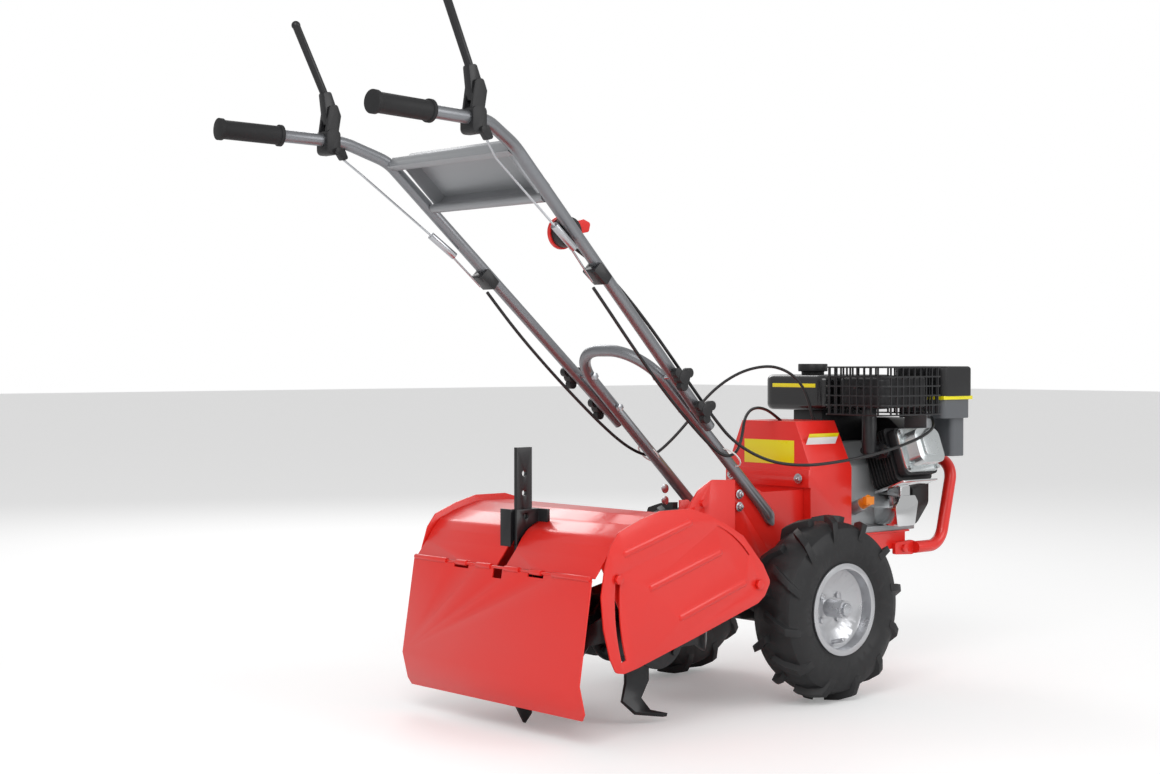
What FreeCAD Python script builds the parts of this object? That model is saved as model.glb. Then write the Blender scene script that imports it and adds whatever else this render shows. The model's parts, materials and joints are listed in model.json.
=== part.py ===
import FreeCAD, Part
import math
import os

# Rear-tine garden tiller. Millimetres, +X forward to the engine, +Y to the machine's left, +Z up.
# Everything is drawn with x = 0 at the wheel axle, then moved once so the box's bottom centre is the origin.

os.makedirs("parts", exist_ok=True)
V = FreeCAD.Vector

# Wheels
WHEEL_R = 178.0
CARCASS_R = 165.0
WHEEL_Y = 208.0
TYRE_HALF = 52.0
RIM_SEAT_R = 80.0
FLANGE_R = 88.0
RIM_HALF = 44.0
SHEET = 3.0
AXLE_R = 12.7
RUN_CLEAR = 0.05
LUGS = 12
# Rotor and hood
ROTOR = (-425.0, 165.0)
SHAFT_R = 15.0
HUB_R = 22.0
FLANGE_YS = (72.0, 128.0, 184.0)
TINE_T = 7.0
TINE_W = 56.0
HOOD_HALF = 250.0
SHIELD_GAP = 6.0
SHIELD_T = 3.0
PIVOT = (-244.0, 246.0)
SLOT_BOLT = (-590.0, 282.0)
PIN_R = 5.0
HINGE = (-642.0, 285.0)
HINGE_PIN_R = 2.5
BAR_X = (-602.0, -567.0)
BAR_HALF = 4.0
BAR_TOP = 497.0
PIN_HOLE_R = 5.5
PIN_HOLE_Z = 374.0
# Frame
PLATE_T = 4.0
REAR_PLATE_Y = 108.0
FRONT_PLATE_Y = 92.0
RAIL_Z = (261.0, 299.0)
# Handles
TUBE_R = 11.0
LEG_SLOPE = -0.9335
LEG_Z0 = 591.7
LEG_X0 = -303.0
LOWER_Y = 101.0
GRIP_R = 16.5
GRIP_LEN = 116.0
BOLT_R = 4.0
BOLT_CLEAR = 0.15
KNOB_R = 25.0
# Engine
CRANK_Z = 405.0
HEAD_X = (262.0, 368.0)
HEAD_TILT = -20.0
FIN_T = 2.5
FIN_PITCH = 8.0
CAGE = (178.0, 366.0, -205.0, -40.0, 541.0, 640.0)
WIRE = 3.0
BUMPER_R = 12.5
CABLE_D = 6.0


# ---------------------------------------------------------------- helpers
def corner_path(points, radius, closed=False):
    """A wire through the points, each corner rounded as far as its runs allow."""
    pts = [V(*p) for p in points]
    n = len(pts)
    radii = list(radius) if isinstance(radius, (list, tuple)) else [radius] * n
    corners = []
    for i in range(n):
        b = pts[i]
        if radii[i] <= 0 or (not closed and i in (0, n - 1)):
            corners.append((b, None, b))
            continue
        before = pts[i - 1] - b
        after = pts[(i + 1) % n] - b
        u = V(before).normalize()
        w = V(after).normalize()
        turn = math.pi - u.getAngle(w)
        if turn < 1e-3:
            corners.append((b, None, b))
            continue
        t = min(radii[i] * math.tan(turn / 2), 0.49 * before.Length, 0.49 * after.Length)
        r = t / math.tan(turn / 2)
        bisector = (u + w).normalize()
        corners.append((b + u * t, b + bisector * (r / math.cos(turn / 2) - r), b + w * t))
    edges = []
    for i in range(n):
        entry, middle, leave = corners[i]
        if middle is not None:
            edges.append(Part.Arc(entry, middle, leave).toShape())
        if i < n - 1 or closed:
            following = corners[(i + 1) % n][0]
            if (following - leave).Length > 1e-6:
                edges.append(Part.makeLine(leave, following))
    return Part.Wire(edges)


def tube(points, bend, radius):
    """A round bar along a path with rounded corners."""
    wire = corner_path(points, bend)
    start = V(*points[0])
    profile = Part.Wire(Part.makeCircle(radius, start, V(*points[1]) - start))
    return wire.makePipeShell([profile], True, False)


def rod(a, b, radius):
    """A straight round bar from a to b."""
    start = V(*a)
    span = V(*b) - start
    return Part.makeCylinder(radius, span.Length, start, span)


def box(x0, x1, y0, y1, z0, z1):
    return Part.makeBox(x1 - x0, y1 - y0, z1 - z0, V(x0, y0, z0))


def slab(points, y0, y1, radius=0):
    """An outline in side view (x, z), extruded across the machine."""
    wire = corner_path([(x, y0, z) for x, z in points], radius, True)
    return Part.Face(wire).extrude(V(0, y1 - y0, 0))


def plan(points, z0, z1, radius=0):
    """An outline in plan (x, y), extruded upwards."""
    wire = corner_path([(x, y, z0) for x, y in points], radius, True)
    return Part.Face(wire).extrude(V(0, 0, z1 - z0))


def front(points, x0, x1, radius=0):
    """An outline in front view (y, z), extruded along the machine."""
    wire = corner_path([(x0, y, z) for y, z in points], radius, True)
    return Part.Face(wire).extrude(V(x1 - x0, 0, 0))


def rect(a0, a1, b0, b1):
    return [(a0, b0), (a1, b0), (a1, b1), (a0, b1)]


def turned_y(profile, centre, radius=0):
    """A profile of (y, distance from axis) turned about a cross axis at centre (x, z)."""
    wire = corner_path([(centre[0], y, centre[1] + r) for y, r in profile], radius, True)
    return Part.Face(wire).revolve(V(centre[0], 0, centre[1]), V(0, 1, 0), 360)


def sheet_profile(points, thickness):
    """The closed outline of a folded sheet: the points and their mitred offset to the right."""
    n = len(points)
    inner = []
    for i in range(n):
        dirs = []
        for a, b in ((i - 1, i), (i, i + 1)):
            if 0 <= a and b < n:
                dx = points[b][0] - points[a][0]
                dz = points[b][1] - points[a][1]
                length = math.hypot(dx, dz)
                dirs.append((dz / length, -dx / length))
        nx = sum(d[0] for d in dirs) / len(dirs)
        nz = sum(d[1] for d in dirs) / len(dirs)
        scale = thickness / (nx * nx + nz * nz)
        inner.append((points[i][0] + nx * scale, points[i][1] + nz * scale))
    return list(points) + inner[::-1]


def join(*shapes):
    """One solid from touching or crossing ones."""
    out = shapes[0].fuse(list(shapes[1:]))
    return out.removeSplitter()


def mirrored(shape):
    return shape.mirror(V(0, 0, 0), V(0, 1, 0))


def turned(shape, base, axis, angle):
    out = shape.copy()
    out.rotate(V(*base), V(*axis), angle)
    return out


def leg_z(x):
    """Height of the handle legs' centre line."""
    return LEG_Z0 + LEG_SLOPE * (x - LEG_X0)


def leg_y(x):
    """Half spread of the upper handle legs."""
    return 124.0 + 56.0 * (-235.0 - x) / 517.0


def hex_head(x, y, z, across, height):
    """A hexagon bolt head on a side face, standing out along +Y."""
    r = across / 2 / math.cos(math.pi / 6)
    pts = [(x + r * math.cos(math.pi * k / 3), z + r * math.sin(math.pi * k / 3)) for k in range(6)]
    return slab(pts, y, y + height)


nodes = {}

# ---------------------------------------------------------------- wheels, left side first
carcass_half = [(RIM_HALF, RIM_SEAT_R), (RIM_HALF, 91.0), (50.0, 102.0), (TYRE_HALF, 120.0),
                (50.5, 138.0), (44.0, 155.0), (20.0, CARCASS_R)]
carcass_profile = carcass_half + [(-y, r) for y, r in carcass_half[::-1]]
carcass = turned_y(carcass_profile, (0, 0), [0, 0, 0, 0, 0, 0, 0, 0, 0, 0, 0, 0, 0, 0])
crown = [(0.0, 150.0), (0.0, WHEEL_R), (24.0, WHEEL_R - 1.0), (46.0, 170.0), (52.0, 150.0), (52.0, 134.0),
         (44.0, 134.0)]
envelope = turned_y(crown, (0, 0))
lug_plan = plan([(0, -7), (54, 26), (54, 40), (0, 8)], 130.0, WHEEL_R + 6)
lug_block = turned(lug_plan, (0, 0, 0), (0, 0, 1), 90)
lug = lug_block.common(envelope)
if lug.Volume < 1.0:
    lug = mirrored(lug_block).common(envelope)
lugs = []
for k in range(LUGS):
    step = 360.0 / LUGS
    lugs.append(turned(lug, (0, 0, 0), (0, 1, 0), step * k))
    lugs.append(turned(mirrored(lug), (0, 0, 0), (0, 1, 0), step * (k + 0.5)))
tyre = carcass.fuse(lugs)
tyre.translate(V(0, WHEEL_Y, WHEEL_R))

rim_profile = [(-RIM_HALF - 3, FLANGE_R), (-RIM_HALF, FLANGE_R), (-RIM_HALF, RIM_SEAT_R),
               (RIM_HALF, RIM_SEAT_R), (RIM_HALF, FLANGE_R), (RIM_HALF + 3, FLANGE_R),
               (RIM_HALF + 3, RIM_SEAT_R - SHEET), (24, RIM_SEAT_R - SHEET), (18, 70), (6, 44), (6, 17),
               (48, 17), (48, AXLE_R + RUN_CLEAR), (-22, AXLE_R + RUN_CLEAR), (-22, 17), (2, 17),
               (2, 46), (14, 72), (18, RIM_SEAT_R - SHEET), (-RIM_HALF - 3, RIM_SEAT_R - SHEET)]
rim = turned_y(rim_profile, (0, 0))
rim_bolts = [rod((32 * math.cos(a), 6, 32 * math.sin(a)), (32 * math.cos(a), 12, 32 * math.sin(a)), 6)
             for a in (math.pi / 4 + k * math.pi / 2 for k in range(4))]
valve = rod((0, 14, -66), (0, 44, -58), 4)
rim = rim.fuse(rim_bolts + [valve])
rim.translate(V(0, WHEEL_Y, WHEEL_R))
nodes["tyre_left"] = tyre
nodes["rim_left"] = rim
nodes["tyre_right"] = mirrored(tyre)
nodes["rim_right"] = mirrored(rim)
axle = rod((0, -262, WHEEL_R), (0, 262, WHEEL_R), AXLE_R)
nodes["axle"] = axle

# ---------------------------------------------------------------- gearbox and tine case
case = slab([(-110, 168), (-70, 145), (45, 145), (70, 175), (70, 280), (40, 300), (-70, 300), (-110, 262)],
            -56, 56, 18)
housing = rod((0, -180, WHEEL_R), (0, 180, WHEEL_R), 20)
collar = rod((0, -FRONT_PLATE_Y, WHEEL_R), (0, FRONT_PLATE_Y, WHEEL_R), 46)
gearbox = join(case, housing, collar).cut(axle)
shaft = rod((ROTOR[0], -200, ROTOR[1]), (ROTOR[0], 200, ROTOR[1]), SHAFT_R)
drive = slab([(-110, 180), (-110, 262), (-240, 262), (-420, 222), (-420, 108)], -26, 26, [0, 0, 30, 0, 0])
nose = rod((ROTOR[0], -26, ROTOR[1]), (ROTOR[0], 26, ROTOR[1]), 57)
shoulder = rod((ROTOR[0], -34, ROTOR[1]), (ROTOR[0], 34, ROTOR[1]), 34)
bore = rod((ROTOR[0], -60, ROTOR[1]), (ROTOR[0], 60, ROTOR[1]), SHAFT_R + RUN_CLEAR)
nodes["gearbox"] = gearbox
nodes["tine_case"] = join(drive, nose, shoulder).cut(bore)
nodes["tine_shaft"] = shaft


# ---------------------------------------------------------------- tine reels
def tine(tip_side):
    """One curved blade hanging down from the rotor, swept back then forward and bent sideways to tip_side."""
    stations = [(42, 0, 0, TINE_W, 0), (92, 0, 0, TINE_W, 0), (122, -20, 7, 46, 25),
                (143, -8, 24, 36, 55), (151, 34, 40, 9, 72)]
    wires = []
    for radial, along, side, width, tilt in stations:
        a = math.radians(tilt)
        centre = V(ROTOR[0] + along, side * tip_side, ROTOR[1] - radial)
        across = V(width / 2, 0, 0)
        deep = V(0, math.cos(a) * tip_side, math.sin(a)) * (TINE_T / 2)
        corners = [centre + across + deep, centre + across - deep, centre - across - deep,
                   centre - across + deep]
        wires.append(Part.makePolygon(corners + [corners[0]]))
    return Part.makeLoft(wires, True, True)


reel_pieces = [rod((ROTOR[0], 40, ROTOR[1]), (ROTOR[0], 198, ROTOR[1]), HUB_R)]
for k, y in enumerate(FLANGE_YS):
    reel_pieces.append(rod((ROTOR[0], y - 4, ROTOR[1]), (ROTOR[0], y + 4, ROTOR[1]), 62))
    blade = tine(1 if k < 2 else -1)
    for half in (0, 180):
        piece = turned(blade, (ROTOR[0], 0, ROTOR[1]), (0, 1, 0), half + (90 if k != 1 else 0))
        piece.translate(V(0, y, 0))
        reel_pieces.append(piece)
    for k2 in range(4):
        a = math.radians(45 + 90 * k2)
        x = ROTOR[0] + 50 * math.cos(a)
        z = ROTOR[1] + 50 * math.sin(a)
        reel_pieces.append(rod((x, y - 9, z), (x, y + 9, z), 6))
reel = reel_pieces[0].fuse(reel_pieces[1:]).cut(rod((ROTOR[0], 0, ROTOR[1]), (ROTOR[0], 230, ROTOR[1]), SHAFT_R))
nodes["tine_reel_left"] = reel
nodes["tine_reel_right"] = mirrored(reel)

# ---------------------------------------------------------------- hood over the tines
hood_line = [(-636, 287), (-612, 316), (-598, 336), (-583, 352), (-536, 370), (-490, 382), (-420, 382),
             (-373, 369), (-332, 350), (-291, 328), (-243, 277), (-226, 247)]
hood_bend = [0] + [30] * (len(hood_line) - 2) + [0]
hood_profile = sheet_profile(hood_line, SHEET)
hood_solid = slab(hood_line + [(-420, 250)], -HOOD_HALF, HOOD_HALF)
skin = slab(hood_profile, -HOOD_HALF, HOOD_HALF, hood_bend + hood_bend[::-1])
end_line = [(-620, 306), (-598, 332), (-583, 348), (-536, 366), (-490, 378), (-420, 378), (-373, 365),
            (-332, 346), (-291, 324), (-246, 277), (-228, 247), (-262, 232), (-404, 196), (-560, 196)]
end_plate = slab(end_line, HOOD_HALF - SHEET, HOOD_HALF)
slot = box(-660, -556, -13, 13, 240, 420)
slot_end = Part.makeCylinder(13, 200, V(-556, 0, 240))
arch = Part.makeCylinder(64, 12, V(ROTOR[0], -6, ROTOR[1]), V(0, 1, 0))
case_gap = box(-300, -200, -30, 30, 220, 290)
hood = join(skin, end_plate, mirrored(end_plate)).cut(slot).cut(slot_end).cut(case_gap)
pins = []
for x, z in (PIVOT, SLOT_BOLT):
    shank = rod((x, HOOD_HALF, z), (x, HOOD_HALF + SHIELD_GAP + SHIELD_T + 2, z), PIN_R)
    spacer = rod((x, HOOD_HALF, z), (x, HOOD_HALF + SHIELD_GAP - 0.5, z), PIN_R + 3)
    head = hex_head(x, HOOD_HALF + SHIELD_GAP + SHIELD_T + 1, z, 15, 5)
    pins.append(join(shank, spacer, head))
hinge_pin = rod((HINGE[0], -246, HINGE[1]), (HINGE[0], 246, HINGE[1]), HINGE_PIN_R)
hood_knuckles = []
for y0, y1 in ((-120, -90), (90, 120)):
    hood_knuckles.append(rod((HINGE[0], y0, HINGE[1]), (HINGE[0], y1, HINGE[1]), 5))
    hood_knuckles.append(box(HINGE[0], -630, y0, y1, HINGE[1] + 1, HINGE[1] + 4))
hood_extra = pins + [mirrored(p) for p in pins] + hood_knuckles + [hinge_pin]
hood_with_pins = hood.fuse(hood_extra)
nodes["tine_hood"] = hood_with_pins

# ---------------------------------------------------------------- side shields
shield_line = [(-620, 300), (-628, 255), (-622, 199), (-607, 147), (-594, 123), (-576, 120), (-546, 126),
               (-402, 166), (-245, 212), (-227, 224), (-212, 249), (-232, 282), (-284, 337), (-327, 360),
               (-369, 379), (-418, 393), (-491, 393), (-538, 381), (-588, 362), (-607, 338)]
y_in = HOOD_HALF + SHIELD_GAP
shield = slab(shield_line, y_in, y_in + SHIELD_T, 12)


def band(centre, radius, half_width, start, end, y0, y1):
    """A curved slot cutter: an arc of even width between two angles, in side view."""
    outer = radius + half_width
    inner = radius - half_width

    def at(r, angle):
        a = math.radians(angle)
        return V(centre[0] + r * math.cos(a), y0, centre[1] + r * math.sin(a))
    middle = (start + end) / 2
    edges = [Part.Arc(at(outer, start), at(outer, middle), at(outer, end)).toShape(),
             Part.makeLine(at(outer, end), at(inner, end)),
             Part.Arc(at(inner, end), at(inner, middle), at(inner, start)).toShape(),
             Part.makeLine(at(inner, start), at(outer, start))]
    return Part.Face(Part.Wire(edges)).extrude(V(0, y1 - y0, 0))


slot_r = math.hypot(SLOT_BOLT[0] - PIVOT[0], SLOT_BOLT[1] - PIVOT[1])
slot_a = math.degrees(math.atan2(SLOT_BOLT[1] - PIVOT[1], SLOT_BOLT[0] - PIVOT[0]))
cutters = [band(PIVOT, slot_r, PIN_R + 0.6, slot_a - 1.2, slot_a + 23.5, y_in - 5, y_in + 9),
           band(ROTOR, 207, 1.6, 41, 69, y_in - 5, y_in + 9),
           rod((PIVOT[0], y_in - 5, PIVOT[1]), (PIVOT[0], y_in + 9, PIVOT[1]), PIN_R + RUN_CLEAR)]
outside = box(-700, -150, y_in + SHIELD_T - 0.5, y_in + 20, 0, 500)
ribs = []
for a, b in (((-572, 325), (-420, 368)), ((-512, 262), (-345, 311)), ((-440, 204), (-281, 252))):
    core = rod((a[0], y_in - 4, a[1]), (b[0], y_in - 4, b[1]), 10)
    ends = [Part.makeSphere(10, V(p[0], y_in - 4, p[1])) for p in (a, b)]
    ribs.append(core.fuse(ends).common(outside))
shield = shield.fuse(ribs)
for cutter in cutters:
    shield = shield.cut(cutter)
nodes["side_shield_left"] = shield
nodes["side_shield_right"] = mirrored(shield)

# ---------------------------------------------------------------- rear flap
flap_line = [(-643, 284), (-671, 108), (-656, 47)]
flap = slab(sheet_profile(flap_line, -SHEET), -HOOD_HALF, HOOD_HALF)
notch = box(-700, -600, -13, 13, 266, 320)
corner_cut = front([(HOOD_HALF - 14, 40), (HOOD_HALF + 5, 40), (HOOD_HALF + 5, 66)], -700, -620)
knuckles = []
for y0, y1 in ((-246, -150), (-60, -20), (20, 60), (150, 246)):
    knuckles.append(rod((HINGE[0], y0, HINGE[1]), (HINGE[0], y1, HINGE[1]), 5))
flap = flap.fuse(knuckles).cut(notch).cut(corner_cut).cut(mirrored(corner_cut))
flap = flap.cut(hood_solid)
flap = flap.cut(rod((HINGE[0], -260, HINGE[1]), (HINGE[0], 260, HINGE[1]), HINGE_PIN_R + RUN_CLEAR))
for y0, y1 in ((-126, -84), (84, 126)):
    flap = flap.cut(box(HINGE[0] - 12, HINGE[0] + 12, y0, y1, HINGE[1] - 9, HINGE[1] + 12))
nodes["rear_flap"] = flap

# ---------------------------------------------------------------- depth bar and its bracket
bar = slab([(BAR_X[0], BAR_TOP), (BAR_X[0], 34), (BAR_X[0] + 20, 0), (BAR_X[1], 16), (BAR_X[1], BAR_TOP)],
           -BAR_HALF, BAR_HALF)
for z in (PIN_HOLE_Z, 415, 450):
    bar = bar.cut(rod((-584.5, -20, z), (-584.5, 20, z), PIN_HOLE_R))
guide_in = BAR_HALF + 0.4
near_wall = slab([(-606, 318), (-556, 330), (-556, 386), (-606, 386)], -guide_in - 4, -guide_in)
far_wall = mirrored(near_wall)
web = box(-566.6, -556, -guide_in, guide_in, 330, 386)
rear_ear = box(-610, -606, guide_in, 34, 316, 386)
near_lug = box(-556, -550, -34, 34, 352, 386)
bracket = join(near_wall, far_wall, web, rear_ear, near_lug)
bracket = bracket.cut(rod((-584.5, -30, PIN_HOLE_Z), (-584.5, 30, PIN_HOLE_Z), PIN_HOLE_R)).cut(hood_solid)
bracket = bracket.cut(bar)
nodes["depth_bar"] = bar
nodes["depth_bracket"] = bracket

# ---------------------------------------------------------------- chassis
handle_low = tube([(-50, LOWER_Y, leg_z(-50)), (-388, LOWER_Y, leg_z(-388)), (-388, -LOWER_Y, leg_z(-388)),
                   (-50, -LOWER_Y, leg_z(-50))], 88, TUBE_R)
rear_plate = slab([(-310, 330), (-270, 387), (-250, 410), (-215, 428), (-155, 425), (-155, 200), (-240, 236)],
                  REAR_PLATE_Y, REAR_PLATE_Y + PLATE_T, [0, 12, 20, 20, 0, 0, 0])
joggle = box(-157, -153, FRONT_PLATE_Y, REAR_PLATE_Y + PLATE_T, 200, 425)
front_plate = slab([(-155, 200), (-155, 425), (-118, 425), (-60, 396), (60, 396), (60, 210), (40, 200)],
                   FRONT_PLATE_Y, FRONT_PLATE_Y + PLATE_T, [0, 0, 20, 20, 0, 0, 0])
plate = join(rear_plate, joggle, front_plate).cut(hood_solid).cut(hood_with_pins)
bolt_heads = [hex_head(x, FRONT_PLATE_Y + PLATE_T, z, 13, 6) for x, z in ((-131, 396), (-131, 372))]
bolt_heads += [hex_head(x, REAR_PLATE_Y + PLATE_T, z, 13, 6) for x, z in ((-240, 385), (-262, 372))]
plate = plate.fuse(bolt_heads)
plate_gap = rod((0, 60, WHEEL_R), (0, 200, WHEEL_R), 40)
plate = plate.cut(plate_gap)
nodes["side_plate_right"] = mirrored(plate)
above = box(-330, -100, 60, 140, 330, 440).fuse(box(-101, 61, 60, 140, 372, 440))
low_plate = plate.cut(above)
low_plate = max(low_plate.Solids, key=lambda s: s.Volume)
nodes["side_plate_left"] = low_plate
deck = box(-62, 60, -FRONT_PLATE_Y, FRONT_PLATE_Y, 340, 344)
cross = box(-155, -151, -FRONT_PLATE_Y, FRONT_PLATE_Y, 262, 326)
nodes["deck"] = deck
nodes["cross_panel"] = cross.cut(slab([(-110, 180), (-110, 263), (-240, 263)], -27, 27))
rails = [box(60, 360, y, y + 30, RAIL_Z[0], RAIL_Z[1] - 4) for y in (80, -110)]
rail_plate = box(60, 372, -112, 112, RAIL_Z[1] - 4, RAIL_Z[1])
nodes["engine_frame"] = join(rail_plate, *rails)
top_corners = [V(60, -73, 530), V(178, -73, 530), V(178, 73, 530), V(60, 73, 530)]
mid_corners = [V(60, -114, 436), V(184, -114, 436), V(184, 114, 436), V(60, 114, 436)]
upper = Part.makeLoft([Part.makePolygon(mid_corners + [mid_corners[0]]),
                       Part.makePolygon(top_corners + [top_corners[0]])], True, True)
lower = box(60, 184, -114, 114, RAIL_Z[1], 436)
lip = box(54, 60, -114, 114, 400, 436)
cover_bolt = [rod((48, y, 418), (54, y, 418), 7) for y in (-90, 90)]
inner_mid = [V(60 + SHEET, -114 + SHEET, 436), V(184 - SHEET, -114 + SHEET, 436),
             V(184 - SHEET, 114 - SHEET, 436), V(60 + SHEET, 114 - SHEET, 436)]
inner_top = [V(60 + SHEET, -73 + SHEET, 527), V(178 - SHEET, -73 + SHEET, 527),
             V(178 - SHEET, 73 - SHEET, 527), V(60 + SHEET, 73 - SHEET, 527)]
hollow = Part.makeLoft([Part.makePolygon(inner_mid + [inner_mid[0]]),
                        Part.makePolygon(inner_top + [inner_top[0]])], True, True)
hollow = hollow.fuse(box(60 + SHEET, 184 - SHEET, -114 + SHEET, 114 - SHEET, RAIL_Z[1] - 1, 436))
nodes["belt_cover"] = join(upper, lower, lip, *cover_bolt).cut(hollow)
bumper_y = 110.0 + BUMPER_R
bumper = tube([(376, -bumper_y, 262), (460, -bumper_y, 262), (505, -bumper_y, 442), (505, bumper_y, 442),
               (460, bumper_y, 262), (376, bumper_y, 262)], 45, BUMPER_R)
tongue = slab([(318, 250), (318, 274), (372, 277), (384, 274), (384, 250), (372, 247)], 110, 118, 4)
tongue_bolt = hex_head(345, 118, 262, 15, 7)
bumper = bumper.fuse([tongue, mirrored(tongue), tongue_bolt, mirrored(tongue_bolt)])
nodes["front_bumper"] = bumper

# ---------------------------------------------------------------- handles
upper_line = [(-235, 124, leg_z(-235)), (-752, 180, leg_z(-752)), (-830, 206.5, 1042.9),
              (-1068.6, 228.4, 1049.5)]
leg = tube(upper_line, 90, TUBE_R)
clamp_bolts = []
knobs = []
for x in (-335.7, -270.4):
    outer = leg_y(x) + TUBE_R
    clamp_bolts.append(rod((x, LOWER_Y - TUBE_R - 2, leg_z(x)), (x, outer, leg_z(x)), BOLT_R))
    hub = rod((x, outer - 2, leg_z(x)), (x, outer + 16, leg_z(x)), 13)
    lobes = []
    for k in range(3):
        a = math.radians(30 + 120 * k)
        cx = x + (KNOB_R - 9) * math.cos(a)
        cz = leg_z(x) + (KNOB_R - 9) * math.sin(a)
        lobes.append(rod((cx, outer + 2, cz), (cx, outer + 15, cz), 9))
    knobs.append(hub.fuse(lobes).cut(leg))
bolt_set = []
for x, shank in zip((-335.7, -270.4), clamp_bolts):
    bolt_set.append(shank.fuse(mirrored(hex_head(x, -(LOWER_Y - TUBE_R - 2), leg_z(x), 13, 6))))
bolts_all = bolt_set + [mirrored(b) for b in bolt_set]
hole_cutters = [rod((x, LOWER_Y - TUBE_R - 3, leg_z(x)), (x, leg_y(x) + TUBE_R + 1, leg_z(x)), BOLT_R + BOLT_CLEAR)
                for x in (-335.7, -270.4)]
for shank in hole_cutters:
    leg = leg.cut(shank)
    handle_low = handle_low.cut(shank).cut(mirrored(shank))
    knobs = [k.cut(shank) for k in knobs]
flat = slab([(-66, leg_z(-66) + 13), (-34, leg_z(-34) + 12), (-34, leg_z(-34) - 14), (-50, leg_z(-50) - 20),
             (-82, leg_z(-82) - 13)], FRONT_PLATE_Y + PLATE_T, FRONT_PLATE_Y + PLATE_T + 8, 6)
flat_bolt = hex_head(-50, FRONT_PLATE_Y + PLATE_T + 8, leg_z(-50) - 3, 15, 7)
side_solids = [low_plate, mirrored(plate)]
handle_low = handle_low.fuse([flat, mirrored(flat), flat_bolt, mirrored(flat_bolt)])
for s in side_solids:
    handle_low = handle_low.cut(s)
nodes["lower_handle"] = handle_low
nodes["handle_leg_left"] = leg
nodes["handle_leg_right"] = mirrored(leg)
nodes["clamp_bolts"] = Part.makeCompound([b.cut(handle_low) for b in bolts_all])
nodes["clamp_knobs"] = Part.makeCompound(knobs + [mirrored(k) for k in knobs])

end = V(*upper_line[3])
back = (end - V(*upper_line[2])).normalize()
inner_end = end - back * GRIP_LEN
grip = Part.makeCylinder(GRIP_R, GRIP_LEN + 4, inner_end, back)
collar_in = Part.makeCylinder(GRIP_R + 2.5, 6, inner_end, back)
collar_out = Part.makeCylinder(GRIP_R + 2.5, 8, end - back * 4, back)
grip = grip.fuse([collar_in, collar_out]).cut(Part.makeCylinder(TUBE_R, GRIP_LEN, inner_end, back))
nodes["grip_left"] = grip
nodes["grip_right"] = mirrored(grip)

clamp = slab(rect(-874, -846, 1018, 1062), 192, 226, 9)
clamp_tab = slab([(-852, 1034), (-834, 1010), (-822, 1014), (-838, 1046)], 202, 214, 4)
cheeks = [slab([(-874, 1054), (-848, 1054), (-842, 1088), (-850, 1108), (-866, 1104)], y, y + 5, 6)
          for y in (196, 217)]
clamp_screw = rod((-856, 184, 1025), (-856, 232, 1025), 5)
bracket_lever = clamp.fuse(cheeks + [clamp_tab, clamp_screw]).cut(leg)
bracket_lever = bracket_lever.cut(box(-890, -830, 201, 217, 1062, 1130))
nodes["lever_bracket_left"] = bracket_lever
nodes["lever_bracket_right"] = mirrored(bracket_lever)
lever_root = slab([(-868, 1070), (-850, 1070), (-846, 1096), (-860, 1130), (-876, 1128), (-872, 1096)],
                  201, 217, 5)
lever_arm = rod((-864, 209, 1116), (-924, 215, 1242), 7)
lever_tip = Part.makeSphere(8, V(-924, 215, 1242))
lever = join(lever_root, lever_arm, lever_tip)
nodes["clutch_lever_left"] = lever
nodes["clutch_lever_right"] = mirrored(lever)

# Tray between the legs, recessed forwards.
slope = V(-0.7314, 0, 0.6819)
deep = V(0.6819, 0, 0.7314) * 30
t_pt = V(-745.7, 0, 1004.5)
l_pt = V(-666.3, 0, 931.2)
pan_line = [(t_pt.x, t_pt.z), (t_pt.x + deep.x, t_pt.z + deep.z), (l_pt.x + deep.x, l_pt.z + deep.z),
            (l_pt.x, l_pt.z)]
pan = slab(sheet_profile(pan_line, 2.5), -148, 148)
pan_end = slab(pan_line, 146, 148)
pan_bars = [rod((l_pt.x, -158, l_pt.z), (l_pt.x, 158, l_pt.z), 9),
            slab([(t_pt.x - 14, t_pt.z - 3), (t_pt.x - 2, t_pt.z + 14), (t_pt.x + 12, t_pt.z + 4),
                  (t_pt.x, t_pt.z - 10)], -172, 172)]
tray = pan.fuse([pan_end, mirrored(pan_end)] + pan_bars).cut(leg).cut(mirrored(leg))
tray = max(tray.Solids, key=lambda s: s.Volume)
nodes["handle_tray"] = tray

# Throttle control on the right leg, inner side.
tx = -606.0
ty = -leg_y(tx) + TUBE_R
tz = leg_z(tx)
throttle = rod((tx, ty - 2, tz), (tx, ty + 20, tz), 26)
throttle = throttle.fuse(box(tx - 16, tx + 16, ty - 6, ty + 4, tz - 18, tz + 18)).cut(mirrored(leg))
nodes["throttle_body"] = throttle
dial = rod((tx, ty + 20, tz), (tx, ty + 27, tz), 29)
thumb = slab([(tx, tz - 8), (tx + 62, tz + 4), (tx + 66, tz + 20), (tx + 50, tz + 26), (tx, tz + 12)],
             ty + 20, ty + 27, 5)
nodes["throttle_lever"] = join(dial, thumb)

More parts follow.
